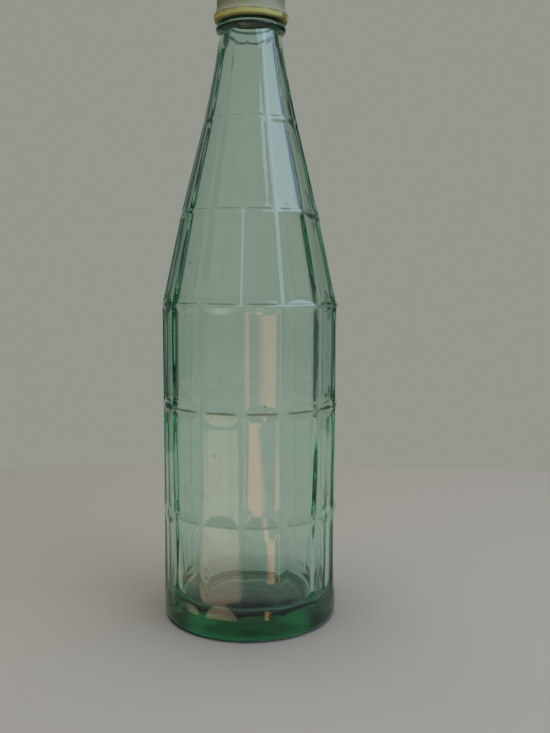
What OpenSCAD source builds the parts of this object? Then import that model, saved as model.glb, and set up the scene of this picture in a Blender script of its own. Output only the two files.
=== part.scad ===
// One litre soda bottle of pale green glass with a screw cap.
// The glass stands on z = 0, its axis is the Z axis, and the front is towards -Y.

/* [Body] */
// Diameter across the raised ribs of the body
body_d = 87; // [80:0.5:100]
// Number of flat panels, and of upright ribs, round the bottle
panel_count = 14; // [10:1:18]
// Width of an upright rib on the body; it narrows with the bottle towards the neck
rib_w = 3.6; // [2.4:0.2:5]
// Height of a ring rib between two rows of panels
ring_h = 3.2; // [2:0.2:5]
// How far the corners of the flat-sided shape lie below the ribs
corner_drop = 0.1; // [0.05:0.05:0.8]
// Corner radius of a panel on the body
panel_corner_r = 4; // [2:0.5:6]
// Turn of the ribs away from the front, seen from above
rib_turn = -4; // [-12:1:12]

/* [Rows of panels, from the foot up] */
// Height of the plain band round the foot
foot_band_h = 17; // [12:1:24]
// Height of the first row, up to the middle of the first ring rib
row1_h = 37.5; // [25:0.5:60]
// Height of the second row
row2_h = 53.2; // [30:0.2:70]
// Height of the third row, up to the shoulder
row3_h = 48.8; // [30:0.2:70]
// Height of the fourth row, the first one on the cone
row4_h = 43.4; // [30:0.2:60]
// Height of the fifth row
row5_h = 43.4; // [30:0.2:60]
// Height of the sixth row, up to the plain band under the bead
row6_h = 36.1; // [25:0.1:50]
// Diameter across the ribs at the ring between the fourth and the fifth row
ring_b_d = 68.2; // [60:0.2:74]
// Diameter across the ribs at the ring between the fifth and the sixth row
ring_a_d = 46; // [40:0.2:52]
// Diameter across the ribs where the sixth row ends
neck_d = 31.6; // [29:0.2:34]

/* [Glass] */
// Thickness of the glass from the ribs to the inside
wall_t = 4; // [3:0.1:5]
// Thickness of the glass in the middle of the base
base_t = 5.5; // [4:0.5:9]
// Radius round the outside of the foot
heel_r = 3.5; // [2:0.5:6]
// Radius round the inside of the base
inner_heel_r = 11.5; // [7:0.5:14]
// Width of the flat ring that the bottle stands on
foot_ring_w = 6; // [3:0.5:9]
// Height of the hollow under the base
punt_h = 3.5; // [2:0.5:6]
// Rise of the inside of the base towards its middle
floor_rise = 1.5; // [0.5:0.5:3]

/* [Mouth] */
// Bore of the neck and mouth
bore_d = 19.2; // [16:0.2:21]
// Diameter of the mouth under its thread
finish_d = 27; // [25:0.1:27.6]
// Height of the mouth above the bead
finish_h = 17.5; // [16.5:0.5:20]
// Radius round the rim of the mouth
lip_r = 0.8; // [0.4:0.1:1.2]
// Height of the plain band under the bead
neck_band_h = 6; // [2:0.5:8]
// Diameter of the bead below the cap
bead_d = 33.6; // [32:0.2:36]
// Height of the bead
bead_h = 3.6; // [3.4:0.2:6]
// Radius round the edges of the bead
bead_r = 1.6; // [1:0.1:1.6]

/* [Thread] */
// Rise of the thread in one turn
pitch = 3.6; // [3.4:0.1:4.4]
// Number of turns of each thread
thread_turns = 1.75; // [1.25:0.25:2]
// How far a thread stands out
thread_depth = 1.25; // [1:0.05:1.4]
// Height of a thread at its root
thread_root_h = 2.2; // [1.6:0.1:2.4]
// Height of a thread at its crest
thread_crest_h = 1; // [0.6:0.1:1.2]
// Height of the glass thread's start above the bead
thread_rise = 6; // [5.5:0.1:7]
// Gap between a thread's crest and the wall that it faces
thread_gap = 0.35; // [0.25:0.05:0.5]

/* [Cap] */
// Thickness of the cap's wall
cap_wall_t = 1.5; // [1.2:0.1:2.5]
// Thickness of the cap's top
cap_top_t = 1.7; // [1.2:0.1:3]
// Radius round the cap's top edge
cap_edge_r = 1.4; // [0.6:0.1:1.6]
// How far the rim stands out from the cap's wall
rim_out = 1.45; // [0.8:0.05:2.5]
// Height of the rim's upright band
rim_band_h = 3; // [2:0.5:4]
// Height of the flare from the rim to the wall
rim_flare_h = 3; // [2:0.5:4]
// Height of the slope under the rim
rim_under_h = 1.4; // [0.8:0.2:2]
// Gap between the bead and the cap
bead_gap = 0.6; // [0.4:0.1:1.2]

/* [Sealing disc] */
// Thickness of the sealing disc
disc_t = 1.2; // [0.8:0.1:2]
// Gap round the sealing disc inside the cap
disc_gap = 0.5; // [0.2:0.1:0.8]

/* [Hidden] */

// How far a cutting solid reaches past what it cuts
overrun = 5;
// Flat steps in a quarter round, in a panel's corner, in a dome and in one turn of a thread
arc_steps = 6;
corner_steps = 3;
dome_steps = 8;
thread_steps = 30;
// Share of a thread over which each of its ends fades
fade_share = 0.16;
$fn = 96;

body_r = body_d / 2;
bore_r = bore_d / 2;
finish_r = finish_d / 2;
bead_out_r = bead_d / 2;

// Heights and radii of the outline over the ribs, at the ends of the rows of panels
row_hs = [row1_h, row2_h, row3_h, row4_h, row5_h, row6_h];
row_z = [for (i = [0 : len(row_hs)]) foot_band_h + sum_to(row_hs, i)];
row_r = [body_r, body_r, body_r, body_r, ring_b_d / 2, ring_a_d / 2, neck_d / 2];
// Places in these lists: the shoulder, and the foot of the top row
shoulder = 3;
top_row = len(row_hs) - 1;
neck_z = row_z[top_row + 1];
neck_slope = (row_r[top_row] - row_r[top_row + 1]) / row6_h;
bead_z = neck_z + neck_band_h;
under_bead_r = row_r[top_row + 1] - neck_slope * neck_band_h;
finish_z = bead_z + bead_h;
lip_z = finish_z + finish_h;

// Panels: half the angle between two ribs, and half the angle that a rib takes
step_a = 360 / panel_count;
rib_half_a = asin(rib_w / body_d);
panel_half_a = step_a / 2 - rib_half_a;

// Base
foot_r = body_r - heel_r;
punt_r = foot_r - foot_ring_w;
inner_r = body_r - wall_t;
floor_r = inner_r - inner_heel_r;
floor_z = punt_h + base_t - floor_rise;

// Thread and cap
thread_r = finish_r + thread_depth;
cap_in_r = thread_r + thread_gap;
cap_r = cap_in_r + cap_wall_t;
rim_r = cap_r + rim_out;
cap_z = finish_z + bead_gap;
cap_roof_z = lip_z + disc_t;
cap_top_z = cap_roof_z + cap_top_t;
glass_thread_z = finish_z + thread_rise;
cap_thread_z = glass_thread_z - pitch / 2;
disc_r = cap_in_r - disc_gap;
// How deep the root of a thread, and its faded ends, lie in the wall
thread_sink = 0.4;
thread_fade_sink = 0.2;

function sum_to(v, n) = n == 0 ? 0 : v[n - 1] + sum_to(v, n - 1);

// Points along an arc round [x, y]
function arc(x, y, r, a0, a1, n) =
    [for (i = [0 : n]) let (a = a0 + (a1 - a0) * i / n) [x + r * cos(a), y + r * sin(a)]];

// Points along a shallow dome, from its top on the axis out to radius r
function dome(r, low, rise, n) =
    let (big = (r * r + rise * rise) / (2 * rise), span = asin(r / big))
    [for (i = [0 : n]) let (a = span * i / n) [big * sin(a), low + rise - big + big * cos(a)]];

// Outline of a panel's recess: bottom at y = 0, top at y = l, with round corners
function panel_outline(w0, w1, l, c0, c1) =
    let (
        lean = atan((w0 - w1) / l),
        x0 = w0 - c0 * tan(lean) - c0 / cos(lean),
        x1 = w1 + c1 * tan(lean) - c1 / cos(lean),
        right = concat(
            arc(x0, c0, c0, -90, lean, corner_steps),
            arc(x1, l - c1, c1, lean, 90, corner_steps)
        )
    )
    concat(right, [for (i = [len(right) - 1 : -1 : 0]) [-right[i][0], right[i][1]]]);

// Distance from the axis to the middle of a panel where the ribs have radius r
function flat_r(r) = (r - corner_drop) * cos(step_a / 2);

// Solid that cuts one panel of row i out of the round glass, on the +X side
module panel_cut(i) {
    a0 = flat_r(row_r[i]);
    a1 = flat_r(row_r[i + 1]);
    rise = row_z[i + 1] - row_z[i];
    lean = atan((a0 - a1) / rise);
    length_all = rise / cos(lean);
    skip0 = i == 0 ? 0 : ring_h / 2;
    skip1 = i == top_row ? 0 : ring_h / 2;
    b0 = a0 + (a1 - a0) * skip0 / length_all;
    b1 = a1 - (a1 - a0) * skip1 / length_all;
    translate([a0, 0, row_z[i]])
        rotate([0, -lean, 0])
            translate([0, 0, skip0])
                rotate([90, 0, 90])
                    linear_extrude(height = overrun)
                        polygon(panel_outline(
                            b0 * tan(panel_half_a),
                            b1 * tan(panel_half_a),
                            length_all - skip0 - skip1,
                            panel_corner_r * row_r[i] / body_r,
                            panel_corner_r * row_r[i + 1] / body_r
                        ));
}

// All the panels; ribs lie between them, the first one rib_turn away from the front
module panel_cuts() {
    for (i = [0 : top_row])
        for (k = [0 : panel_count - 1])
            rotate([0, 0, -90 + rib_turn + (k + 0.5) * step_a])
                panel_cut(i);
}

// Outside of the glass over its ribs, with the bead and the plain mouth
module glass_outside() {
    rotate_extrude()
        polygon(concat(
            dome(punt_r, 0, punt_h, dome_steps),
            arc(foot_r, heel_r, heel_r, -90, 0, arc_steps),
            [for (i = [shoulder : top_row + 1]) [row_r[i], row_z[i]]],
            [[under_bead_r, bead_z]],
            arc(bead_out_r - bead_r, bead_z + bead_r, bead_r, -90, 0, arc_steps),
            arc(bead_out_r - bead_r, finish_z - bead_r, bead_r, 0, 90, arc_steps),
            [[finish_r, finish_z]],
            arc(finish_r - lip_r, lip_z - lip_r, lip_r, 0, 90, arc_steps),
            [[0, lip_z]]
        ));
}

// Inside of the glass, open at the mouth
module glass_inside() {
    rotate_extrude()
        polygon(concat(
            dome(floor_r, floor_z, floor_rise, dome_steps),
            arc(floor_r, floor_z + inner_heel_r, inner_heel_r, -90, 0, arc_steps),
            [for (i = [shoulder : top_row]) [row_r[i] - wall_t, row_z[i]]],
            [[bore_r, neck_z], [bore_r, lip_z - lip_r]],
            arc(bore_r + lip_r, lip_z - lip_r, lip_r, 180, 90, arc_steps),
            [[bore_r + lip_r, lip_z + overrun], [0, lip_z + overrun]]
        ));
}

// Screw thread as a ridge round a wall of radius r, standing outwards when side = 1
// and inwards when side = -1; its ends fade into the wall
module thread(r, z, side) {
    count = round(thread_turns * thread_steps);
    fade = fade_share * count;
    rings = [for (i = [0 : count])
        let (
            a = 360 * i / thread_steps,
            full = min(1, i / fade, (count - i) / fade),
            tip = r + side * (full * (thread_depth + thread_fade_sink) - thread_fade_sink),
            back = r - side * thread_sink,
            mid = z + pitch * i / thread_steps
        )
        for (p = [
            [back, -thread_root_h / 2],
            [tip, -thread_crest_h / 2],
            [tip, thread_crest_h / 2],
            [back, thread_root_h / 2]
        ])
        [p[0] * cos(a), p[0] * sin(a), mid + p[1]]
    ];
    sides = [for (i = [0 : count - 1], j = [0 : 3])
        let (a = 4 * i + j, b = 4 * i + (j + 1) % 4, c = b + 4, d = a + 4)
        each [[a, b, c], [a, c, d]]
    ];
    last = 4 * count;
    ends = [[0, 2, 1], [0, 3, 2], [last, last + 1, last + 2], [last, last + 2, last + 3]];
    faces = concat(sides, ends);
    polyhedron(
        points = rings,
        faces = side > 0 ? faces : [for (f = faces) [f[2], f[1], f[0]]]
    );
}

module glass_bottle() {
    color([0.62, 0.82, 0.74, 0.5])
        difference() {
            union() {
                glass_outside();
                thread(finish_r, glass_thread_z, 1);
            }
            panel_cuts();
            glass_inside();
        }
}

// Wall, roof and rim of the cap
module cap_shell() {
    rotate_extrude()
        polygon(concat(
            [
                [cap_in_r, cap_z],
                [rim_r - rim_under_h, cap_z],
                [rim_r, cap_z + rim_under_h],
                [rim_r, cap_z + rim_under_h + rim_band_h],
                [cap_r, cap_z + rim_under_h + rim_band_h + rim_flare_h]
            ],
            arc(cap_r - cap_edge_r, cap_top_z - cap_edge_r, cap_edge_r, 0, 90, arc_steps),
            [[0, cap_top_z], [0, cap_roof_z], [cap_in_r, cap_roof_z]]
        ));
}

module screw_cap() {
    color([0.86, 0.79, 0.62])
        union() {
            cap_shell();
            thread(cap_in_r, cap_thread_z, -1);
        }
}

// Soft disc inside the cap, pressed on the rim of the mouth
module sealing_disc() {
    color([0.93, 0.91, 0.86])
        translate([0, 0, lip_z])
            cylinder(h = disc_t, r = disc_r);
}

glass_bottle();
screw_cap();
sealing_disc();
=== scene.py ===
# %% [markdown]
# # A pale green soda bottle in Blender
#
# This lesson dresses a bottle whose plain solids were made in a CAD tool. The solids are loaded
# as a fixed frame: they say where each piece is and how it moves. Here each piece gets its
# finer form, its finish, and a quiet studio. The order is: frame and camera, helpers, glass,
# cap, sealing disc, finishes, studio, and the last measures.

# %% The frame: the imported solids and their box
import math

import bpy
import numpy as np
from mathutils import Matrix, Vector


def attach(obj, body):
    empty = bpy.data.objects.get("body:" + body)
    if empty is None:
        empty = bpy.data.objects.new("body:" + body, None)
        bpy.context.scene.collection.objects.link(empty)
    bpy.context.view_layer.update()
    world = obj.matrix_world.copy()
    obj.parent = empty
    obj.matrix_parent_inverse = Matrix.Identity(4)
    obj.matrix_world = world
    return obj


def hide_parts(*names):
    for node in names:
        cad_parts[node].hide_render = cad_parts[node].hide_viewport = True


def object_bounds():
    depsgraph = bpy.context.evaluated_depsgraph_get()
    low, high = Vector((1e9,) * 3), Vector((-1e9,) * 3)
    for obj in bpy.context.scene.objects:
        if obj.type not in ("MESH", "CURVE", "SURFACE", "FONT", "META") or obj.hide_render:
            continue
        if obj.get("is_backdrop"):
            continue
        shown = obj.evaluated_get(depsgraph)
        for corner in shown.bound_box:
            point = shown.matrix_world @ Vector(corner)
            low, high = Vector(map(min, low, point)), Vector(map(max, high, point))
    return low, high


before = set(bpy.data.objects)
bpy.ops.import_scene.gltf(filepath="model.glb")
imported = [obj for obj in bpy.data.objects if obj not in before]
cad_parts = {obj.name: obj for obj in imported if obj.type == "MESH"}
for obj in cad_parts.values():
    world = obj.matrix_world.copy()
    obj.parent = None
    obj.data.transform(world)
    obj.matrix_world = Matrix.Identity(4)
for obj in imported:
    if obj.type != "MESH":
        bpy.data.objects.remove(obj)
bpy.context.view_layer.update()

# %% [markdown]
# ## The camera
#
# The photograph was taken from a little above the middle of the bottle, close to it and
# looking slightly down. A camera fitted to the bottle's outline gave these numbers. The lens
# comes from the focal length in pixels of a picture 733 pixels high, because Blender gives a
# lens for a sensor 36 mm long.

# %% Camera at the photograph's place
MM = 0.001
PICTURE_HEIGHT = 733
FOCAL_PIXELS = 846.15
SENSOR = 36
EYE = (12.03, -421.2, 172.3)
LOOK_DOWN = 6.37
ROLL = -0.25

camera_data = bpy.data.cameras.new("photo_camera")
camera_data.sensor_width = SENSOR
camera_data.lens = FOCAL_PIXELS / PICTURE_HEIGHT * SENSOR
camera = bpy.data.objects.new("photo_camera", camera_data)
bpy.context.scene.collection.objects.link(camera)
camera.location = [v * MM for v in EYE]
camera.rotation_euler = (math.radians(90 - LOOK_DOWN), math.radians(ROLL), 0)
bpy.context.scene.camera = camera
print("lens in mm:", round(camera_data.lens, 2))

# %% [markdown]
# ## Room for light inside glass
#
# Light that enters the thick base is thrown back and forth many times before it leaves. With
# few bounces allowed it would be lost on the way, and the base would show black patches.

# %% Light bounces
LIGHT_BOUNCES = 32
cycles = bpy.context.scene.cycles
cycles.max_bounces = LIGHT_BOUNCES
cycles.transmission_bounces = LIGHT_BOUNCES
cycles.glossy_bounces = LIGHT_BOUNCES // 2
print("light may bounce", cycles.max_bounces, "times")

# %% [markdown]
# ## Drawing a profile and turning it
#
# A bottle, its cap and its disc are all turned forms, so each starts as half a section. The
# section is drawn as by hand: one vertex is put down and extruded from point to point. Spin
# then carries the line round the axis, as a lathe would. Where spin closes the ring, the first
# and the last line lie on each other, so doubles are merged before the faces are turned
# outwards.

# %% Draw a half section, and close what was spun from it
ON_AXIS = (0, 0, 0)
UP = (0, 0, 1)
MERGE_GAP = 1e-6


def deselect():
    """Takes everything out of the selection, the CAD nodes too."""
    bpy.ops.object.select_all(action="DESELECT")


def draw_section(name, points, angle=0):
    """Draws a half section of (radius, height) points in mm, at an angle round the axis."""
    deselect()
    bpy.ops.mesh.primitive_plane_add(size=MM)
    piece = bpy.context.object
    piece.name = piece.data.name = name
    bpy.ops.object.mode_set(mode="EDIT")
    bpy.ops.mesh.select_all(action="SELECT")
    bpy.ops.mesh.merge(type="CENTER")
    turn = math.radians(angle)
    at = np.zeros(3)
    for index, (radius, height) in enumerate(points):
        goal = np.array([radius * math.cos(turn), radius * math.sin(turn), height]) * MM
        move = tuple(goal - at)
        if index == 0:
            bpy.ops.transform.translate(value=move)
        else:
            bpy.ops.mesh.extrude_region_move(TRANSFORM_OT_translate={"value": move})
        at = goal
    bpy.ops.mesh.select_all(action="SELECT")
    return piece


def close_and_smooth(piece):
    """Merges doubles, turns all faces outwards and leaves edit mode with smooth shading."""
    bpy.ops.mesh.select_all(action="SELECT")
    bpy.ops.mesh.remove_doubles(threshold=MERGE_GAP)
    bpy.ops.mesh.normals_make_consistent(inside=False)
    bpy.ops.object.mode_set(mode="OBJECT")
    bpy.ops.object.shade_smooth()
    piece.data.update()


print("sections can be drawn, spun and closed")

# %% [markdown]
# ## The glass: measures
#
# The bottle is one blown piece. Its outside was pressed by a mould with fourteen flat panels
# in each of six rows, and the glass left between them stands as upright ribs and ring ribs.
# The numbers are in mm, and nearly all are those of the CAD source, so that the piece lies
# where the solid is. The panels of the lowest row reach a little further down here.

# %% Measures of the glass
BODY_R = 43.5
PANELS = 14
STEP = 360 / PANELS
RIB_TURN = -4
FRONT = -90
RIB_WIDE = 3.6
RIB_HALF = math.degrees(math.asin(RIB_WIDE / (2 * BODY_R)))
CORNER_DROP = 0.1
ROW_Z = [10, 54.5, 107.7, 156.5, 199.9, 243.3, 279.4]
ROW_R = [43.5, 43.5, 43.5, 43.5, 34.1, 23, 15.8]
BEAD_Z = 285.4
UNDER_BEAD_R = 14.6
BEAD_R = 16.8
BEAD_EDGE = 1.78
FINISH_Z = 289
FINISH_R = 13.5
LIP_Z = 306.5
LIP_R = 0.8
BORE_R = 9.6
PITCH = 3.6
THREAD_TURNS = 1.75
THREAD_DEPTH = 1.25
GLASS_THREAD_Z = 295
print("panels:", PANELS, "rows:", len(ROW_Z) - 1, "one panel spans", round(STEP, 2), "degrees")

# %% [markdown]
# ## The glass: its section
#
# The rows of vertices are close together where the panels will be pressed in, and far apart
# where the glass is plain. The line starts under the base on the axis, runs up the outside,
# over the lip, and down the inside to the middle of the floor. The inside has no panels,
# because blown glass is smooth where only air shaped it.

# %% Heights of the rows of vertices
RING_ROWS = [0, 0.3, 0.6, 0.95, 1.35, 1.8, 2.3, 2.9, 3.6, 4.5, 5.6, 7.0]
FOOT_ROWS = [-1.5, -0.9, -0.4, 0, 0.4, 0.8, 1.3, 1.9, 2.6, 3.4, 4.4, 5.6, 7.2]
NECK_ROWS = [-12, -10.6, -9.3, -8, -6.8, -5.6, -4.4, -3.2, -2, -0.8, 0.5, 1.8, 3.1, 4.2]
PLAIN_STEP = 7.4


def panel_rows():
    """Heights of the rows from the lowest panel's edge to the highest one's."""
    rings = [-d for d in reversed(RING_ROWS[1:])] + RING_ROWS
    offsets = [FOOT_ROWS] + [rings] * (len(ROW_Z) - 2) + [NECK_ROWS]
    groups = [[middle + d for d in some] for middle, some in zip(ROW_Z, offsets)]
    heights = groups[0]
    for below, group in zip(groups, groups[1:]):
        low, high = below[-1], group[0]
        count = round((high - low) / PLAIN_STEP)
        heights = heights + [low + (high - low) * i / count for i in range(1, count)] + group
    return heights


print("rows over the panels:", len(panel_rows()))

# %% Curves that the section is drawn from
HOLLOW_SLOPE = 0.14
HOLLOW_R = 34
HOLLOW_TIP = 3


def arc(x, y, radius, start, end, steps):
    """Points along an arc, from one angle to another in degrees."""
    angles = np.radians(np.linspace(start, end, steps + 1))
    return [(x + radius * math.cos(a), y + radius * math.sin(a)) for a in angles]


def dome(radius, low, rise, steps):
    """Points along a shallow dome, from its top on the axis outwards."""
    ball = (radius**2 + rise**2) / (2 * rise)
    span = math.asin(radius / ball)
    angles = [span * i / steps for i in range(steps + 1)]
    return [(ball * math.sin(a), low + rise - ball + ball * math.cos(a)) for a in angles]


def outside_r(height):
    """Radius over the ribs at a height."""
    return np.interp(height, ROW_Z + [BEAD_Z], ROW_R + [UNDER_BEAD_R])


def hollow_z(r):
    """Height of the hollow under the base: a shallow cone with a rounded tip."""
    return HOLLOW_SLOPE * (math.hypot(HOLLOW_R, HOLLOW_TIP) - math.hypot(r, HOLLOW_TIP))


print("the hollow under the base is", round(hollow_z(0), 2), "mm high")

# %% The outside line, from under the base to the lip
FOOT_EDGE = 3.5
THREAD_ROW_STEP = 0.36
outside = [(r, hollow_z(r)) for r in (0, 2, 4, 7, 11, 16, 22, 28)]
outside += [(HOLLOW_R, 0), (35.5, 0), (37.5, 0), (39, 0)]
outside += arc(BODY_R - FOOT_EDGE, FOOT_EDGE, FOOT_EDGE, -90, 0, 9)
outside += [(BODY_R, z) for z in (5.3, 7.1)]
outside += [(float(outside_r(z)), z) for z in panel_rows()]
outside += [(float(outside_r(z)), z) for z in (284.5, 285.1)]
outside += [(UNDER_BEAD_R, BEAD_Z)]
outside += arc(BEAD_R - BEAD_EDGE, BEAD_Z + BEAD_EDGE, BEAD_EDGE, -80, 0, 6)
outside += arc(BEAD_R - BEAD_EDGE, FINISH_Z - BEAD_EDGE, BEAD_EDGE, 0, 90, 7)
outside += [(FINISH_R + 0.5, FINISH_Z), (FINISH_R + 0.15, FINISH_Z + 0.15)]
outside += [(FINISH_R, FINISH_Z + 0.5), (FINISH_R, 290.6)]
outside += [(FINISH_R, float(z)) for z in np.arange(292.2, 304.4, THREAD_ROW_STEP)]
outside += arc(FINISH_R - LIP_R, LIP_Z - LIP_R, LIP_R, 0, 90, 5)
print("points of the outside line:", len(outside))

# %% The inside line, from the lip to the middle of the floor
INSIDE_FOOT_R = 37.5
INSIDE_EDGE = 11.5
INSIDE_FLOOR_Z = 7.5
FLOOR_RISE = 1.5
INSIDE_LINE = [
    (19, INSIDE_FOOT_R), (60, 38.3), (112, 39.5), (156.5, 39.5), (199.9, 30.4), (243.3, 19.5),
    (272, 13.8), (279.4, 12.2), (281.5, 11.72), (283.8, 11.32), (286, 11.05), (288.5, 10.8),
    (291, 10.5), (293, 10.2), (297, BORE_R), (305.7, BORE_R),
]
INSIDE_Z = [19, 26, 36, 48, 60, 72, 84, 96, 108, 120, 132, 141, 147, 151.5, 156.5, 161.5, 166]
INSIDE_Z += [173, 182, 191, 200, 209, 218, 227, 235, 243.3, 250, 258, 266, 272, 276, 279.4]
INSIDE_Z += [281.5, 283.8, 286, 288.5, 291, 293, 295, 297, 301]


def inside_r(height):
    """Radius of the inside at a height."""
    return np.interp(height, *zip(*INSIDE_LINE))


inside_axis = INSIDE_FOOT_R - INSIDE_EDGE
inside = arc(inside_axis, INSIDE_FLOOR_Z + INSIDE_EDGE, INSIDE_EDGE, 270, 360, 9)[:-1]
inside += [(float(inside_r(z)), z) for z in INSIDE_Z]
inside += arc(BORE_R + LIP_R, LIP_Z - LIP_R, LIP_R, 180, 90, 5)
floor_line = dome(inside_axis, INSIDE_FLOOR_Z, FLOOR_RISE, 7)[:-1]
section = outside + list(reversed(inside)) + list(reversed(floor_line))
print("rows of the glass:", len(section))

# %% [markdown]
# ## The glass: turned sector by sector
#
# Only one fourteenth of the round is spun, in small steps near a rib and wide ones over a
# flat panel. The same spin tool then repeats that sector round the axis.

# %% Spin one sector and repeat it
RIB_COLUMNS = [0, 0.65, 1.3, 1.95, 2.6, 3.3, 4.1, 5.2, 6.8, 8.8, 10.8]
first_rib = FRONT + RIB_TURN
columns = RIB_COLUMNS + [STEP / 2] + [STEP - c for c in reversed(RIB_COLUMNS)]
glass = draw_section("glass_body", section, first_rib)
for here, there in zip(columns, columns[1:]):
    bpy.ops.mesh.spin(steps=1, angle=math.radians(there - here), center=ON_AXIS, axis=UP)
bpy.ops.mesh.select_all(action="SELECT")
most = math.radians(STEP * (PANELS - 1))
bpy.ops.mesh.spin(steps=PANELS - 1, angle=most, dupli=True, center=ON_AXIS, axis=UP)
close_and_smooth(glass)
print("glass before pressing:", len(glass.data.vertices), "vertices")

# %% [markdown]
# ## The vertices of a turned piece as arrays
#
# What a mould, a thread or wear does to a turned piece is mostly a change of its radius. So the
# vertices are read all at once as radius, angle and height, changed by a formula, and written
# back. A formula keeps fourteen panels alike, where sculpting each by hand would not.

# %% Read and write vertices, and ease between two values
def read_points(piece):
    """The piece's vertices in mm, as radius, angle in degrees and height."""
    flat = np.empty(3 * len(piece.data.vertices), np.float32)
    piece.data.vertices.foreach_get("co", flat)
    x, y, z = flat.reshape(-1, 3).astype(float).T / MM
    return np.hypot(x, y), np.degrees(np.arctan2(y, x)), z


def write_points(piece, radius, angle, height):
    """Puts the vertices back from radius, angle and height."""
    turn = np.radians(angle)
    xyz = np.stack([radius * np.cos(turn), radius * np.sin(turn), height], axis=1) * MM
    piece.data.vertices.foreach_set("co", xyz.astype(np.float32).ravel())
    piece.data.update()


def ease(value):
    """Smooth step from 0 to 1."""
    value = np.clip(value, 0, 1)
    return value * value * (3 - 2 * value)


def count_triangles(piece):
    """Number of triangles of a piece."""
    return sum(len(face.vertices) - 2 for face in piece.data.polygons)


print("vertices can be read and written")

# %% [markdown]
# ## The glass: panels pressed in
#
# Each panel is a flat facet cut into the round. Towards an upright rib its edge is a soft step.
# Towards a ring rib it rises on a shallow slope, and because the facet is deepest in its middle,
# slope and facet meet along an arch. The lesser of the two depths, rounded a little where they
# cross, gives exactly that, as a mould cutter's tool does.

# %% How deep the mould pressed
RIB_FLANK = 1.75
FLANK_SHARE = 0.4
PRESS = [0.74, 0.76, 0.76, 0.72, 0.6, 0.5]
PRESS_UP = 6
RING_CREST = 0.45
RING_SLOPE = [0.16, 0.15, 0.27, 0.3, 0.27, 0.2, 0.07]
ROUNDING = 0.1
heights_of_rows = np.array(ROW_Z)


def flat_distance(radius):
    """Distance from the axis to the middle of a panel, where the ribs have this radius."""
    return (radius - CORNER_DROP) * math.cos(math.radians(STEP / 2))


def press_depth(angle, height, softness=1):
    """How deep the mould pressed the glass at an angle and height, in mm."""
    off_middle = (angle - first_rib) % STEP - STEP / 2
    row = np.clip(np.searchsorted(heights_of_rows, height, side="right") - 1, 0, len(ROW_Z) - 2)
    radius = outside_r(height)
    flat = flat_distance(radius)
    size = radius / BODY_R
    across = flat * np.tan(np.radians(np.abs(off_middle)))
    edge = flat * math.tan(math.radians(STEP / 2 - RIB_HALF))
    flank = softness * RIB_FLANK * (FLANK_SHARE + (1 - FLANK_SHARE) * size)
    share = ease((flank - across + edge) / (2 * flank))
    full = radius - flat / np.cos(np.radians(off_middle))
    strength = np.interp(height, [z + PRESS_UP for z in ROW_Z[:-1]], PRESS)
    facet = share * full * strength
    slopes = np.array(RING_SLOPE) / softness
    from_low = slopes[row] * (height - heights_of_rows[row] - RING_CREST)
    from_high = slopes[row + 1] * (heights_of_rows[row + 1] - RING_CREST - height)
    ramp = np.minimum(from_low, from_high)
    lesser = (facet + ramp - np.hypot(facet - ramp, ROUNDING)) / 2
    return np.maximum(lesser, 0)


print("panels are pressed by up to", max(PRESS), "of a flat facet's depth")

# %% Press the panels, and let the inside echo them
ROW_MARGIN = 2
WALL_BORDER = 1.5
INSIDE_LOW = 12
INSIDE_HIGH = 292
ECHO = 0.75
ECHO_SOFTNESS = 1.7
ECHO_FROM = 30
ECHO_FADE = 30
radius, angle, height = read_points(glass)
border = inside_r(height) + WALL_BORDER
in_rows = (height > ROW_Z[0] - ROW_MARGIN) & (height < BEAD_Z)
is_outside = in_rows & (radius > border)
is_inside = ~is_outside & (height > INSIDE_LOW) & (height < INSIDE_HIGH) & (radius < border)
deep = press_depth(angle, height) * is_outside
echo = ECHO * press_depth(angle, height, ECHO_SOFTNESS) * is_inside
echo = echo * ease((height - ECHO_FROM) / ECHO_FADE)
radius = radius - deep - echo
print("deepest press in mm:", round(float(deep.max()), 2))
print("vertices pressed:", int((deep > 0.01).sum()))

# %% [markdown]
# ## The glass: its thread
#
# The mouth carries one screw thread of a turn and three quarters, hidden by the cap until it
# is unscrewed. A spiral drawn through a turned grid of vertices needs no new faces: each vertex
# near the spiral is moved outwards, and the ridge fades in and out at its two ends.

# %% Raise the thread
THREAD_FADE = 0.16
THREAD_BLUNT = 0.05
THREAD_FOOT = 1.1
THREAD_SLOPE = 0.6
FINISH_LOW = 290.8
FINISH_HIGH = 305.5


def thread_height(angle, height, start):
    """How far a thread stands out at an angle and height; start is its height at angle 0."""
    best = np.zeros_like(height)
    for turn in (0, 1):
        along = (angle % 360) / 360 + turn
        to_end = np.minimum(along, THREAD_TURNS - along)
        fade = ease(to_end / (THREAD_FADE * THREAD_TURNS) + THREAD_BLUNT)
        ridge = ease((THREAD_FOOT - np.abs(height - start - PITCH * along)) / THREAD_SLOPE)
        best = np.maximum(best, np.where(along <= THREAD_TURNS, fade * ridge, 0))
    return best * THREAD_DEPTH


on_finish = (height > FINISH_LOW) & (height < FINISH_HIGH) & (radius > BORE_R + 2)
radius = radius + np.where(on_finish, thread_height(angle, height, GLASS_THREAD_Z), 0)
print("the thread climbs", PITCH, "mm a turn, for", THREAD_TURNS, "turns")

# %% [markdown]
# ## The glass: an uneven wall
#
# Blown glass is never true. The inside of its wall swells and thins slowly by a few tenths of a
# millimetre, which is what makes the view through it swim, and the outside sways a little less.
# A few long waves round the bottle and up it, added together, give that without any noise.

# %% Let the wall waver, and narrow the neck's row
WAVERS = [(0.16, 2, 47, 0.6), (0.11, 3, -31, 0), (0.07, 5, 17, 2), (0.05, 2, 11, 0)]
SWAYS = [(0.05, 2, 60, 0), (0.035, 3, 23, 1)]
SHRINK = 0.08
CALM_LOW = 14
CALM_HIGH = 30
SWAY_FROM = 15
SWAY_FADE = 20
NECK_WAIST = 0.38


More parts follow.
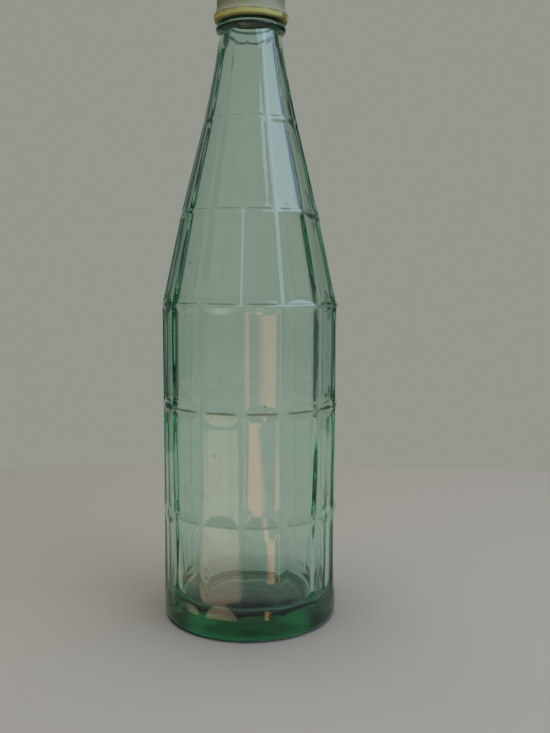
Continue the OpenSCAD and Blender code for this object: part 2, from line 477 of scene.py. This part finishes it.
def waves(table, turn, height):
    """Adds waves, each with a size, a count round the bottle, a length up it and a shift."""
    return sum(size * np.sin(count * turn + height / long + shift)
               for size, count, long, shift in table)


turn = np.radians(angle)
calm = ease((height - INSIDE_LOW) / CALM_LOW) * ease((INSIDE_HIGH - height) / CALM_HIGH)
radius = radius + np.where(is_inside, waves(WAVERS, turn, height) * calm, 0)
sway = (SHRINK + waves(SWAYS, turn, height)) * ease((height - SWAY_FROM) / SWAY_FADE)
radius = radius - np.where(is_outside, sway, 0)
waist = np.sin(np.pi * np.clip((height - ROW_Z[5]) / (ROW_Z[6] - ROW_Z[5]), 0, 1))
radius = radius - np.where(is_outside, NECK_WAIST * waist, 0)
write_points(glass, radius, angle, height)
print("glass:", count_triangles(glass), "triangles; widest", round(float(radius.max()), 2), "mm")

# %% [markdown]
# ## The glass: dirt and painted shade on the ledges
#
# A bottle that has been out and back many times keeps a little dirt on the small ledges under
# each panel and above it. Painted shade is added to that dirt: the dark refraction that the
# ledges show is painted there too, much stronger on the side that faces the front. How much is
# written to the vertices as an attribute, so that the finish can follow the pressed form, which
# no plain coordinate describes.

# %% Dirt and painted shade on the ledges, written to the vertices
# Each ledge: height of its ring, height above it, half its thickness, and amount of dirt and
# painted shade.
LEDGES = [
    (54.5, 0.5, 0.6, 0.5),
    (107.7, 0.3, 0.75, 1),
    (156.5, 1.4, 0.5, 0.9),
    (199.9, 1.3, 0.45, 0.6),
    (243.3, 1.2, 0.4, 0.35),
]
LENS = 0.6
LEDGE_REACH = 1.2
LEDGE_END = 0.84
LEDGE_FADE = 0.2
BACK_SHARE = 0.12
FRONT_SHIFT = 0.3
FRONT_SPAN = 0.9
vertex_dirt_shade = np.zeros_like(height)
off_middle = np.abs((angle - first_rib) % STEP - STEP / 2) / (STEP / 2)
for ring_z, above, half, amount in LEDGES:
    thick = half * (1 - LENS * off_middle**2)
    from_ledge = np.abs(height - ring_z - above) / thick
    vertex_dirt_shade = np.maximum(vertex_dirt_shade, amount * ease(LEDGE_REACH - from_ledge))
# Painted shade: the dark band is weighted towards the front, where the ledges show dark
# refraction.
facing = ease((np.cos(np.radians(angle - FRONT)) + FRONT_SHIFT) / FRONT_SPAN)
vertex_dirt_shade = vertex_dirt_shade * is_outside * ease((LEDGE_END - off_middle) / LEDGE_FADE)
vertex_dirt_shade = vertex_dirt_shade * (BACK_SHARE + (1 - BACK_SHARE) * facing)
layer = glass.data.attributes.new("ledge_dirt_and_shade", "FLOAT", "POINT")
layer.data.foreach_set("value", vertex_dirt_shade.astype(np.float32))
print("vertices with dirt:", int((vertex_dirt_shade > 0.05).sum()))

# %% [markdown]
# ## The glass: seeds
#
# Old returnable glass holds a few seeds, small drawn-out air bubbles caught in the wall. Each
# is a tiny ball inside the glass with its faces turned into the bubble, so light leaves the
# glass there and comes back in.

# %% Add the seeds inside the wall
# Each seed: angle from the front, height, radius and how far it is drawn out.
SEED_DEPTH = 2.9
SEEDS = [
    (10.6, 111.5, 0.55, 1.3), (33, 203, 0.4, 1.6), (-22, 88, 0.35, 1.5), (-47, 176, 0.4, 1.7),
    (62, 133, 0.35, 1.4), (118, 71, 0.5, 1.3), (-128, 148, 0.45, 1.6), (171, 219, 0.35, 1.8),
]
seeds = []
for turned, seed_z, seed_r, stretch in SEEDS:
    around = math.radians(FRONT + turned)
    middle = (float(outside_r(seed_z)) - SEED_DEPTH) * MM
    place = (middle * math.cos(around), middle * math.sin(around), seed_z * MM)
    deselect()
    bpy.ops.mesh.primitive_ico_sphere_add(subdivisions=2, radius=seed_r * MM, location=place)
    bpy.ops.object.mode_set(mode="EDIT")
    bpy.ops.mesh.select_all(action="SELECT")
    bpy.ops.transform.resize(value=(1, 1, stretch), center_override=place)
    bpy.ops.mesh.flip_normals()
    bpy.ops.object.mode_set(mode="OBJECT")
    bpy.ops.object.shade_smooth()
    bpy.ops.object.transform_apply(location=True, rotation=True, scale=True)
    seeds.append(bpy.context.object)
deselect()
for seed in seeds:
    seed.select_set(True)
glass.select_set(True)
bpy.context.view_layer.objects.active = glass
bpy.ops.object.join()
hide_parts("glass_bottle")
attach(glass, "bottle")
print("seeds in the glass:", len(SEEDS), "triangles now:", count_triangles(glass))

# %% [markdown]
# ## The cap
#
# The cap is one plastic moulding: a roof, a wall that flares into a thick rim over the bead,
# and a thread inside. Its section is drawn and spun like the glass. Fine upright grip flutes
# near the top let a hand turn it, and a small gate mark on the roof shows where the plastic
# flowed into the mould.

# %% Section and spin of the cap
CAP_R = 16.3
CAP_IN_R = 15.1
CAP_Z = 290.4
CAP_EDGE = 1.4
RIM_R = 18.05
RIM_Z = 293.2
RIM_EDGE = 0.42
ROOF_Z = 307.7
TOP_Z = 309.4
GATE_R = 1.6
CAP_COLUMNS = 288
cap_line = [(0, TOP_Z - 0.25), (GATE_R * 0.6, TOP_Z - 0.25), (GATE_R, TOP_Z - 0.42)]
cap_line += [(GATE_R + 0.4, TOP_Z - 0.3), (5, TOP_Z - 0.22), (9, TOP_Z - 0.15), (12, TOP_Z - 0.08)]
cap_line += [(13.4, TOP_Z - 0.02), (14.2, TOP_Z)]
cap_line += arc(CAP_R - CAP_EDGE, TOP_Z - CAP_EDGE, CAP_EDGE, 90, 0, 8)
cap_line += [(CAP_R, z) for z in (307.6, 307.2, 306.4, 305.2, 304, 303, 302.4, 302, 301.6)]
cap_line += [(CAP_R, 300), (CAP_R, 298.6), (CAP_R + 0.04, 297.3), (CAP_R + 0.14, 296.6)]
cap_line += [(CAP_R + 0.34, 295.8), (CAP_R + 0.66, 295)]
cap_line += [(CAP_R + 1.05, 294.3), (CAP_R + 1.4, 293.8)]
cap_line += arc(RIM_R - RIM_EDGE, RIM_Z, RIM_EDGE, 62, -20, 5)
cap_line += [(17.88, 292.5), (17.74, 291.9), (17.56, 291.4), (17.4, 291)]
cap_line += [(17.2, 290.72), (16.85, 290.5), (16.5, CAP_Z), (15.9, CAP_Z), (15.35, CAP_Z + 0.05)]
cap_line += [(15.15, CAP_Z + 0.2), (CAP_IN_R, CAP_Z + 0.45)]
cap_line += [(CAP_IN_R, float(z)) for z in np.arange(291.2, 303.6, THREAD_ROW_STEP)]
cap_line += [(CAP_IN_R, 305), (CAP_IN_R, 306.6), (15, 307.3), (14.7, 307.6), (14.2, ROOF_Z)]
cap_line += [(10, ROOF_Z), (5, ROOF_Z), (0, ROOF_Z)]
cap = draw_section("cap_body", cap_line)
bpy.ops.mesh.spin(steps=CAP_COLUMNS, angle=math.tau, center=ON_AXIS, axis=UP)
close_and_smooth(cap)
print("rows of the cap:", len(cap_line))

# %% Flutes, thread and a slightly uneven rim
FLUTES = 72
FLUTE_DEPTH = 0.28
FLUTE_LOW = 301.9
FLUTE_HIGH = 308.5
FLUTE_FADE_LOW = 1.4
FLUTE_FADE_HIGH = 1.0
CAP_THREAD_Z = 293.2
BORE_LOW = 291
BORE_HIGH = 304.4
BORE_BAND = 0.1
RIM_OUT = 0.2
RIM_TOP = 296
RIM_FADE = 1.2
RIM_SHRINK = 0.08
# Each wave of the rim: its size, its count round the cap and its shift.
RIM_WAVES = [(0.05, 3, 1), (0.03, 7, 0)]
radius, angle, height = read_points(cap)
turn = np.radians(angle)
on_wall = (radius > CAP_IN_R + 0.7) & (height > FLUTE_LOW) & (height < FLUTE_HIGH)
flute = 0.5 - 0.5 * np.cos(turn * FLUTES)
reach = ease((height - FLUTE_LOW) / FLUTE_FADE_LOW) * ease((FLUTE_HIGH - height) / FLUTE_FADE_HIGH)
radius = radius - np.where(on_wall, FLUTE_DEPTH * flute * reach, 0)
on_bore = np.abs(radius - CAP_IN_R) < BORE_BAND
in_bore = on_bore & (height < BORE_HIGH) & (height > BORE_LOW)
radius = radius - np.where(in_bore, thread_height(angle, height, CAP_THREAD_Z), 0)
rim = (radius > CAP_R + RIM_OUT) & (height < RIM_TOP)
uneven = sum(size * np.sin(count * turn + shift) for size, count, shift in RIM_WAVES)
out_there = ease((radius - CAP_R) / RIM_FADE)
radius = radius + np.where(rim, (uneven - RIM_SHRINK) * out_there, 0)
write_points(cap, radius, angle, height)
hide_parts("screw_cap")
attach(cap, "cap")
print("cap:", count_triangles(cap), "triangles,", FLUTES, "flutes")

# %% [markdown]
# ## The sealing disc
#
# A soft disc under the roof of the cap is pressed on the lip of the glass and keeps the fizz
# in. It is punched from sheet, so its edge is slightly rounded, and it keeps a shallow ring
# where the lip sat.

# %% Section and spin of the disc
DISC_R = 14.6
DISC_EDGE = 0.35
DISC_COLUMNS = 128
disc_line = [(0, ROOF_Z), (6, ROOF_Z), (12, ROOF_Z)]
disc_line += arc(DISC_R - DISC_EDGE, ROOF_Z - DISC_EDGE, DISC_EDGE, 90, 0, 4)
disc_line += arc(DISC_R - DISC_EDGE, LIP_Z + DISC_EDGE, DISC_EDGE, 0, -90, 4)
disc_line += [(13.6, LIP_Z), (13.3, LIP_Z + 0.04), (13.0, LIP_Z), (10.2, LIP_Z)]
disc_line += [(9.9, LIP_Z + 0.05), (9.4, LIP_Z + 0.06), (5, LIP_Z + 0.06), (0, LIP_Z + 0.06)]
disc = draw_section("disc_body", disc_line)
bpy.ops.mesh.spin(steps=DISC_COLUMNS, angle=math.tau, center=ON_AXIS, axis=UP)
close_and_smooth(disc)
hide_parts("sealing_disc")
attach(disc, "disc")
print("disc:", count_triangles(disc), "triangles")

# %% [markdown]
# ## Writing shaders as expressions
#
# A finish is a small net of shader nodes. The class below holds one output of a node, and
# writing + - * on it adds a Math node. Every other node comes from one function, which sets
# the node's own settings first and then fills its sockets with values or links.

# %% The socket class


class Socket:
    """One output socket of a node tree; arithmetic on it adds Math nodes."""

    def __init__(self, tree, link):
        self.tree = tree
        self.link = link

    def math(self, operation, *terms):
        return node(self.tree, "ShaderNodeMath", {"operation": operation}, terms)

    def clamped(self):
        settings = {"operation": "ADD", "use_clamp": True}
        return node(self.tree, "ShaderNodeMath", settings, (self, 0))

    def __add__(self, other):
        return self.math("ADD", self, other)

    def __radd__(self, other):
        return self.math("ADD", other, self)

    def __sub__(self, other):
        return self.math("SUBTRACT", self, other)

    def __rsub__(self, other):
        return self.math("SUBTRACT", other, self)

    def __mul__(self, other):
        return self.math("MULTIPLY", self, other)

    def __rmul__(self, other):
        return self.math("MULTIPLY", other, self)


print("sockets can be added, subtracted and multiplied")

# %% The node function


def node(tree, kind, settings=None, sockets=(), output=0):
    """Adds a node: settings first, then socket values or links; gives back one output."""
    made = tree.nodes.new(kind)
    for key, value in (settings or {}).items():
        setattr(made, key, value)
    pairs = sockets.items() if isinstance(sockets, dict) else enumerate(sockets)
    for key, value in pairs:
        if isinstance(value, Socket):
            tree.links.new(value.link, made.inputs[key])
        else:
            made.inputs[key].default_value = value
    return Socket(tree, made.outputs[output])


print("the node function is ready")

# %% [markdown]
# ## What every finish needs
#
# A finish starts with an empty net and reads the place on the piece, because the pattern has to
# stay where it is when the piece moves. Noise, soft steps, distances and blends of two colours
# are then enough for dust, grime, ageing and stains.

# %% Helpers for finishes
COLOUR_MIX_INPUTS = (0, 6, 7)
COLOUR_MIX_OUTPUT = 2


def new_finish(name):
    """An empty material tree and its output node."""
    material = bpy.data.materials.new(name)
    material.use_nodes = True
    tree = material.node_tree
    tree.nodes.clear()
    return material, tree, tree.nodes.new("ShaderNodeOutputMaterial")


def surface_place(tree):
    """The point on the piece in its own metres, which are the frame's."""
    return node(tree, "ShaderNodeTexCoord", output="Object")


def upward(tree, place, axis="Z"):
    """One axis of a place, the height unless another is asked for."""
    return node(tree, "ShaderNodeSeparateXYZ", {}, (place,), output=axis)


def noise(tree, place, scale, detail=3, roughness=0.5):
    """Soft noise from 0 to 1, with its scale in lumps per metre."""
    settings = {"noise_dimensions": "3D"}
    sockets = {"Vector": place, "Scale": scale, "Detail": detail, "Roughness": roughness}
    return node(tree, "ShaderNodeTexNoise", settings, sockets)


def step_up(tree, value, start, end):
    """0 below start, 1 above end, smooth between them."""
    settings = {"interpolation_type": "SMOOTHSTEP"}
    sockets = {"Value": value, "From Min": start, "From Max": end, "To Min": 0, "To Max": 1}
    return node(tree, "ShaderNodeMapRange", settings, sockets)


def distance_to(tree, place, point):
    """Distance in metres from one point of the piece."""
    settings = {"operation": "DISTANCE"}
    return node(tree, "ShaderNodeVectorMath", settings, (place, point), output="Value")


def blend_colours(tree, share, first, second):
    """Mixes two colours; share 0 is the first."""
    colours = [c if isinstance(c, Socket) else (*c, 1) for c in (first, second)]
    sockets = dict(zip(COLOUR_MIX_INPUTS, (share, *colours)))
    return node(tree, "ShaderNodeMix", {"data_type": "RGBA"}, sockets, COLOUR_MIX_OUTPUT)


def dress(piece, material):
    """Gives a piece its one material."""
    piece.data.materials.clear()
    piece.data.materials.append(material)


print("helpers for finishes are ready")

# %% [markdown]
# ## The glass finish: dust, ripples, and dirt with painted shade
#
# The skin of the glass is nearly polished, with faint ripples from the mould and a thin haze of
# dust. On the ledges the dirt and painted shade that were written to the vertices darken it. All
# this is noise of different sizes, in lumps per metre, so one patch of noise can serve several of
# them.

# %% Dust, ripples, and dirt with painted shade
DUST_LUMPS = 55
RIPPLE_LUMPS = 42
GRAIN_LUMPS = 900
HAZE_FROM = (0.5, 0.8)
DIRT_SHADE_LEAST = 0.55
DIRT_SHADE_IN_DUST = 0.9
CLEAN_SKIN = (0.97, 1, 0.985)
LEDGE_DIRT_AND_SHADE = (0.13, 0.12, 0.06)
material, tree, output = new_finish("bottle_glass")
place = surface_place(tree)
up_place = upward(tree, place)
dust = noise(tree, place, DUST_LUMPS, 6, 0.62)
haze = step_up(tree, dust, *HAZE_FROM)
grain = noise(tree, place, GRAIN_LUMPS, 2)
ripple = noise(tree, place, RIPPLE_LUMPS, 2)
on_ledge = node(tree, "ShaderNodeAttribute", {"attribute_name": "ledge_dirt_and_shade"}, output="Fac")
# Dirt and painted shade on the ledges darken the clean skin.
dirt_and_shade = (on_ledge * (DIRT_SHADE_LEAST + dust * DIRT_SHADE_IN_DUST)).clamped()
clear = blend_colours(tree, dirt_and_shade, CLEAN_SKIN, LEDGE_DIRT_AND_SHADE)
print("dust has", DUST_LUMPS, "lumps per metre, ripples", RIPPLE_LUMPS)

# %% [markdown]
# ## The glass finish: what use did to the foot, and painted shade in its hollow
#
# The bottle stands on a narrow ring, which tables and crates have scuffed. The hollow inside
# that ring is never wiped, so grime has made it dull, and it is darkened further with painted
# shade. A small chip is gone from the foot on the right. Each is a mask made from height, from
# distance to the axis, which stays squared, or from distance to a point. The masks feed
# roughness, bump and coat.

# %% Masks of the hollow, the scuffed ring and the chip
HOLLOW_OUT = (0.0375**2, 0.0345**2)
HOLLOW_UP = (0.0058, 0.0052)
SCUFF_UP = (0.0016, 0.0006)
STIPPLE_LUMPS = 1500
CHIP_PLACE = (0.0205, -0.0375, 0.0015)
CHIP_REACH = (0.0026, 0.0018)
CHIP_RAGGED = 0.003
CHIP_LUMPS = 500
CHIP_JAGS = 6
CHIP_DEPTH = 4
aside = [upward(tree, place, axis) for axis in "XY"]
off_axis = aside[0] * aside[0] + aside[1] * aside[1]
hollow = step_up(tree, off_axis, *HOLLOW_OUT) * step_up(tree, up_place, *HOLLOW_UP)
scuffed = (step_up(tree, up_place, *SCUFF_UP) - hollow).clamped()
stipple = noise(tree, place, STIPPLE_LUMPS, 1)
to_chip = distance_to(tree, place, CHIP_PLACE)
chip = step_up(tree, to_chip + (dust - 0.5) * CHIP_RAGGED, *CHIP_REACH)
chipped = chip * (noise(tree, place, CHIP_LUMPS, 2) * CHIP_JAGS - CHIP_DEPTH)
print("scuffed up to", round(SCUFF_UP[0] / MM, 2), "mm above the table")

# %% [markdown]
# ## The glass finish: skin and colour
#
# Returnable soda glass is clear with a green cast that comes from iron in the sand. The colour
# isn't on the surface: it grows with the thickness of glass that the light crosses, so it is
# set as absorption inside the mesh. That is why the base and the edges look deep green and the
# panels almost clear. The hollow has a dull, dark green coat, partly grime and partly painted
# shade that darkens the base.

# %% Skin and colour of the glass
GLASS_IOR = 1.52
GLASS_TINT = (0.12, 0.868, 0.588, 1)
GLASS_DENSITY = 34
# Coat in the hollow: grime and painted shade that darken the base.
GRIME_SHADE_COAT = 0.45
GRIME_SHADE_COAT_ROUGH = 0.4
GRIME_SHADE_COAT_IOR = 1.3
GRIME_SHADE_TINT = (0.05, 0.3, 0.17, 1)
POLISHED = 0.008
HAZE_ROUGH = 0.035
GRAIN_ROUGH = 0.006
HOLLOW_ROUGH = 0.12
SCUFF_ROUGH = 0.3
GRAIN_HEIGHT = 0.012
SCUFF_HEIGHT = 0.6
rough = POLISHED + haze * HAZE_ROUGH + grain * GRAIN_ROUGH
rough = rough + hollow * HOLLOW_ROUGH + scuffed * SCUFF_ROUGH
relief = ripple + grain * GRAIN_HEIGHT + scuffed * stipple * SCUFF_HEIGHT + chipped
bump = node(tree, "ShaderNodeBump", {}, {"Strength": 0.12, "Distance": 0.0006, "Height": relief})
skin = {
    "Base Color": clear,
    "Roughness": rough,
    "IOR": GLASS_IOR,
    "Transmission Weight": 1,
    "Normal": bump,
    "Coat Weight": hollow * GRIME_SHADE_COAT,
    "Coat Roughness": GRIME_SHADE_COAT_ROUGH,
    "Coat IOR": GRIME_SHADE_COAT_IOR,
    "Coat Tint": GRIME_SHADE_TINT,
}
shader = node(tree, "ShaderNodeBsdfPrincipled", {}, skin)
tint = {"Color": GLASS_TINT, "Density": GLASS_DENSITY}
inner = node(tree, "ShaderNodeVolumeAbsorption", {}, tint)
tree.links.new(shader.link, output.inputs["Surface"])
tree.links.new(inner.link, output.inputs["Volume"])
dress(glass, material)
print("glass finish: index", GLASS_IOR, "absorption density", GLASS_DENSITY)

# %% [markdown]
# ## The cap finish
#
# The cap was cream plastic. Years of light and handling turned its rim yellow, grime sits in
# patches, and there is one brown stain on the right. The underside of the rim is darkened with
# painted shade. The base colour runs from cream to yellow by height, broken up by noise so that
# the border isn't a line.

# %% Colours of the cap
CREAM_LIGHT = (0.31, 0.295, 0.205)
CREAM_DARK = (0.235, 0.24, 0.145)
YELLOW_LIGHT = (0.64, 0.69, 0.24)
YELLOW_DARK = (0.50, 0.56, 0.17)
AGED_UP = (0.2932, 0.2925)
WANDER = 0.0016
PATCH_LUMPS = 130
BROAD_LUMPS = 38
SPECK_LUMPS = 1300
material, tree, output = new_finish("cap_plastic")
place = surface_place(tree)
up_place = upward(tree, place)
patches = noise(tree, place, PATCH_LUMPS, 5, 0.6)
broad = noise(tree, place, BROAD_LUMPS, 2)
specks = noise(tree, place, SPECK_LUMPS, 3)
up_wander = up_place + (patches - 0.5) * WANDER
ageing = step_up(tree, up_wander, *AGED_UP)
cream = blend_colours(tree, broad, CREAM_LIGHT, CREAM_DARK)
yellowed = blend_colours(tree, patches, YELLOW_LIGHT, YELLOW_DARK)
plastic = blend_colours(tree, ageing, cream, yellowed)
print("the cap is yellow below", round(AGED_UP[0] / MM, 1), "mm")

# %% Grime, painted shade under the rim, and stain of the cap
GRIME = (0.17, 0.15, 0.07)
GRIME_FROM = (0.56, 0.74)
GRIME_MOST = 0.5
UNDER_RIM_SHADE = (0.13, 0.11, 0.03)
UNDER_RIM_SHADE_UP = (0.2914, 0.2906)
UNDER_RIM_SHADE_MOST = 0.85
STAIN = (0.22, 0.10, 0.035)
STAIN_PLACE = (0.0162, -0.0069, 0.2908)
STAIN_REACH = (0.0045, 0.0015)
STAIN_RAGGED = 0.006
STAIN_MOST = 0.75
grime = step_up(tree, patches * 0.7 + specks * 0.3, *GRIME_FROM) * GRIME_MOST
# Painted shade: below about 291 mm, on the underside of the rim, the colour is darkened.
under_rim_shade = step_up(tree, up_wander, *UNDER_RIM_SHADE_UP) * UNDER_RIM_SHADE_MOST
to_stain = distance_to(tree, place, STAIN_PLACE) + (patches - 0.5) * STAIN_RAGGED
stain = step_up(tree, to_stain, *STAIN_REACH) * STAIN_MOST
for share, colour in ((grime, GRIME), (under_rim_shade, UNDER_RIM_SHADE), (stain, STAIN)):
    plastic = blend_colours(tree, share, plastic, colour)
print("grime covers up to", GRIME_MOST, "of the plastic's own colour")

# %% Skin of the cap
CAP_ROUGH = 0.36
PATCH_ROUGH = 0.2
SPECK_ROUGH = 0.08
SPECK_HEIGHT = 0.25
rough = CAP_ROUGH + patches * PATCH_ROUGH + specks * SPECK_ROUGH
relief = specks * SPECK_HEIGHT + patches
bump = node(tree, "ShaderNodeBump", {}, {"Strength": 0.35, "Distance": 0.00025, "Height": relief})
skin = {"Base Color": plastic, "Roughness": rough, "IOR": 1.5, "Normal": bump}
shader = node(tree, "ShaderNodeBsdfPrincipled", {}, skin)
tree.links.new(shader.link, output.inputs["Surface"])
dress(cap, material)
print("cap finish is ready")

# %% [markdown]
# ## The disc finish
#
# The disc is a soft, matt, off-white sheet with fine pores, mottled by age. Noise of two sizes
# gives both: the coarse one its colour, the fine one its roughness.

# %% Finish of the disc
DISC_LIGHT = (0.66, 0.62, 0.52)
DISC_DARK = (0.56, 0.51, 0.4)
MOTTLE_LUMPS = 300
PORE_LUMPS = 2600
DISC_ROUGH = 0.62
PORE_ROUGH = 0.15
material, tree, output = new_finish("disc_rubber")
place = surface_place(tree)
mottle = noise(tree, place, MOTTLE_LUMPS, 5, 0.6)
pores = noise(tree, place, PORE_LUMPS, 2)
shade = blend_colours(tree, mottle, DISC_LIGHT, DISC_DARK)
relief = mottle * 0.5 + pores * 0.5
bump = node(tree, "ShaderNodeBump", {}, {"Strength": 0.4, "Distance": 0.0002, "Height": relief})
rough = DISC_ROUGH + pores * PORE_ROUGH
skin = {"Base Color": shade, "Roughness": rough, "IOR": 1.45, "Normal": bump}
shader = node(tree, "ShaderNodeBsdfPrincipled", {}, skin)
tree.links.new(shader.link, output.inputs["Surface"])
dress(disc, material)
print("disc finish is ready")

# %% [markdown]
# ## The studio: floor and surroundings
#
# Glass shows what is around it, so its surroundings are part of its look. A pale round table
# stands before a pale wall, which is painted into the world. Beside the wall, over it and behind
# the camera the world is dark, and that gives the glass its dark edge lines, as the black cards
# of a product photographer do.

# %% The floor
FLOOR_R = 1.6
FLOOR_BACK = 0.324
FLOOR_GAP = 0.0002
FLOOR_SIDES = 256
FLOOR_COLOUR = (0.30, 0.28, 0.247, 1)
deselect()
bpy.ops.mesh.primitive_circle_add(
    vertices=FLOOR_SIDES,
    radius=FLOOR_R,
    fill_type="NGON",
    location=(0, FLOOR_BACK - FLOOR_R, -FLOOR_GAP),
)
floor = bpy.context.object
floor.name = "studio_floor"
bpy.ops.object.transform_apply(location=True, rotation=True, scale=True)
material, tree, output = new_finish("pale_floor")
skin = {"Base Color": FLOOR_COLOUR, "Roughness": 0.7, "Specular IOR Level": 0.3}
shader = node(tree, "ShaderNodeBsdfPrincipled", {}, skin)
tree.links.new(shader.link, output.inputs["Surface"])
dress(floor, material)
floor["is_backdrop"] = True
print("floor reaches", FLOOR_BACK, "m behind the bottle")

# %% The world: a pale wall behind, dark beside it, over it and behind the camera
WALL = (0.30, 0.31, 0.273)
CEILING = (0.07, 0.07, 0.068)
DARK_SIDES = (0.035, 0.04, 0.036)
BEHIND_CAMERA = (0.08, 0.08, 0.075)
SIDE_FROM = 24
SIDE_TO = 36
WALL_TOP = 27
WALL_TOP_FADE = 0.1
CEILING_FROM = (0.55, 0.8)
CAMERA_SIDE = (0.15, -0.45)
world = bpy.data.worlds.new("studio_world")
bpy.context.scene.world = world
world.use_nodes = True
tree = world.node_tree
tree.nodes.clear()
aim = node(tree, "ShaderNodeTexCoord", output="Generated")
aim_x, aim_y, aim_z = [upward(tree, aim, axis) for axis in "XYZ"]
camera_side = step_up(tree, aim_y, *CAMERA_SIDE)
wall_top = math.sin(math.radians(WALL_TOP))
over_wall = step_up(tree, aim_z, wall_top, wall_top + WALL_TOP_FADE)
above = step_up(tree, aim_z, *CEILING_FROM)
sideways = aim_x.math("ARCTAN2", aim_x.math("ABSOLUTE", aim_x), aim_y) * math.degrees(1)
beside = step_up(tree, sideways, SIDE_FROM, SIDE_TO)
shade = blend_colours(tree, beside, WALL, DARK_SIDES)
shade = blend_colours(tree, camera_side, shade, BEHIND_CAMERA)
shade = blend_colours(tree, over_wall, shade, DARK_SIDES)
shade = blend_colours(tree, above, shade, CEILING)
ground = node(tree, "ShaderNodeBackground", {}, {"Color": shade, "Strength": 1})
output = tree.nodes.new("ShaderNodeOutputWorld")
tree.links.new(ground.link, output.inputs["Surface"])
print("the wall reaches", SIDE_FROM, "degrees to each side and", WALL_TOP, "degrees up")

# %% [markdown]
# ## The studio: softboxes
#
# Three slightly cool softboxes stand 24 to 35 degrees up, where the slanting panels and ribs of
# the cone mirror them and the upright ones don't. That is what the open sky did on the real
# bottle. Neither the camera nor a ray that passes through the glass sees a lamp, because it would
# show there as a hard bright streak.

# %% Softboxes at the right, in front and low
BOX_AWAY = 1.2
BOX_COLOUR = (0.52, 0.72, 1.0)
# Each box: angle from the front, angle up, width and height in metres, and radiance.
BOXES = [
    ("softbox_right", 75, 35, 0.95, 0.42, 3.5),
    ("softbox_front", 41, 30, 0.62, 0.62, 3.0),
    ("softbox_low", -11, 24.5, 0.26, 0.33, 2.6),
]
AIM_HEIGHT = 0.2


def soft_light(name, place, wide, high, colour, radiance):
    """A rectangular area light of a given radiance, seen in reflections only."""
    data = bpy.data.lights.new(name, "AREA")
    data.shape = "RECTANGLE"
    data.size, data.size_y = wide, high
    data.color = colour
    data.energy = radiance * math.pi * wide * high
    lamp = bpy.data.objects.new(name, data)
    bpy.context.scene.collection.objects.link(lamp)
    lamp.location = place
    lamp.visible_camera = False
    lamp.visible_transmission = False
    return lamp


def turned_place(turned, away, high):
    """A place at an angle from the front, at a distance from the axis and a height, in m."""
    around = math.radians(FRONT + turned)
    return (away * math.cos(around), away * math.sin(around), high)


for name, turned, up, wide, high, radiance in BOXES:
    level = BOX_AWAY * math.cos(math.radians(up))
    lift = AIM_HEIGHT + BOX_AWAY * math.sin(math.radians(up))
    box_place = turned_place(turned, level, lift)
    box = soft_light(name, box_place, wide, high, BOX_COLOUR, radiance)
    box.rotation_euler = (math.radians(90 - up), 0, math.radians(turned))
    print(name, "power in W:", round(box.data.energy, 2))

# %% [markdown]
# ## The studio: the lamp overhead
#
# A wide lamp overhead lights the table, the cap and the wear on the glass evenly, with a shadow
# that has no edge. It isn't mirrored, so it can be strong and leave the glass its quiet tones.

# %% The lamp overhead
TOP_HEIGHT = 2.0
TOP_WIDE = 1.6
TOP_RADIANCE = 5.6
TOP_COLOUR = (1, 0.98, 0.94)
top_place = (0, 0, TOP_HEIGHT)
top_lamp = soft_light("overhead_lamp", top_place, TOP_WIDE, TOP_WIDE, TOP_COLOUR, TOP_RADIANCE)
top_lamp.visible_glossy = False
print(top_lamp.name, "hangs at", TOP_HEIGHT, "m")

# %% [markdown]
# ## The studio: glow strips
#
# The upright panels mirror what lies low in front of the bottle, outside the picture, and warm
# streaks in them say that something bright is there. Strips on the floor that shine upwards
# stand in for it. One lamp has a hard edge, so each strip is a nest of four, from wide to
# narrow, whose light adds up towards the middle.

# %% Low glow strips in front
STRIP_LAYERS = (1, 0.8, 0.6, 0.4)
STRIP_LIFT = 0.002
STRIP_GAP = 0.0005
# Each strip: angle from the front, its near and far end, width, colour and radiance.
FLOOR_STRIPS = [
    (-37, 0.08, 0.56, 0.15, (1.0, 0.66, 0.42), 2.0),
    (13.5, 0.26, 0.62, 0.05, (1.0, 0.36, 0.24), 3.6),
    (19.5, 0.11, 0.2, 0.014, (1.0, 0.45, 0.18), 4.0),
]
for number, (turned, near, far, wide, colour, radiance) in enumerate(FLOOR_STRIPS):
    for layer, share in enumerate(STRIP_LAYERS):
        low_place = turned_place(turned, (near + far) / 2, STRIP_LIFT + STRIP_GAP * layer)
        size = (wide * share, far - near)
        each = radiance / len(STRIP_LAYERS)
        strip = soft_light(f"low_strip_{number}_{layer}", low_place, *size, colour, each)
        strip.rotation_euler = (math.pi, 0, math.radians(turned))
    print("low strip", number, "reaches from", near, "to", far, "m")

# %% An upright glow strip
UPRIGHT_TURNED = 19
UPRIGHT_AWAY = 0.66
UPRIGHT_GAP = 0.001
UPRIGHT_MIDDLE = 0.07
UPRIGHT_HIGH = 0.13
UPRIGHT_WIDE = 0.1
UPRIGHT_COLOUR = (1.0, 0.4, 0.27)
UPRIGHT_RADIANCE = 3.0
for layer, share in enumerate(STRIP_LAYERS):
    away = UPRIGHT_AWAY - UPRIGHT_GAP * layer
    upright_place = turned_place(UPRIGHT_TURNED, away, UPRIGHT_MIDDLE)
    size = (UPRIGHT_WIDE * share, UPRIGHT_HIGH)
    each = UPRIGHT_RADIANCE / len(STRIP_LAYERS)
    upright = soft_light(f"upright_strip_{layer}", upright_place, *size, UPRIGHT_COLOUR, each)
    upright.rotation_euler = (math.radians(90), 0, math.radians(UPRIGHT_TURNED))
print("upright strip stands", UPRIGHT_AWAY, "m away")

# %% [markdown]
# ## Colour handling and the last measures
#
# The plain Standard view keeps colours as they are written. The box of the dressed model is
# measured and printed.

bpy.context.scene.view_settings.view_transform = "Standard"
low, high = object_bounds()
print("visual box in mm:", [round(1000 * v, 2) for v in (*low, *high)])
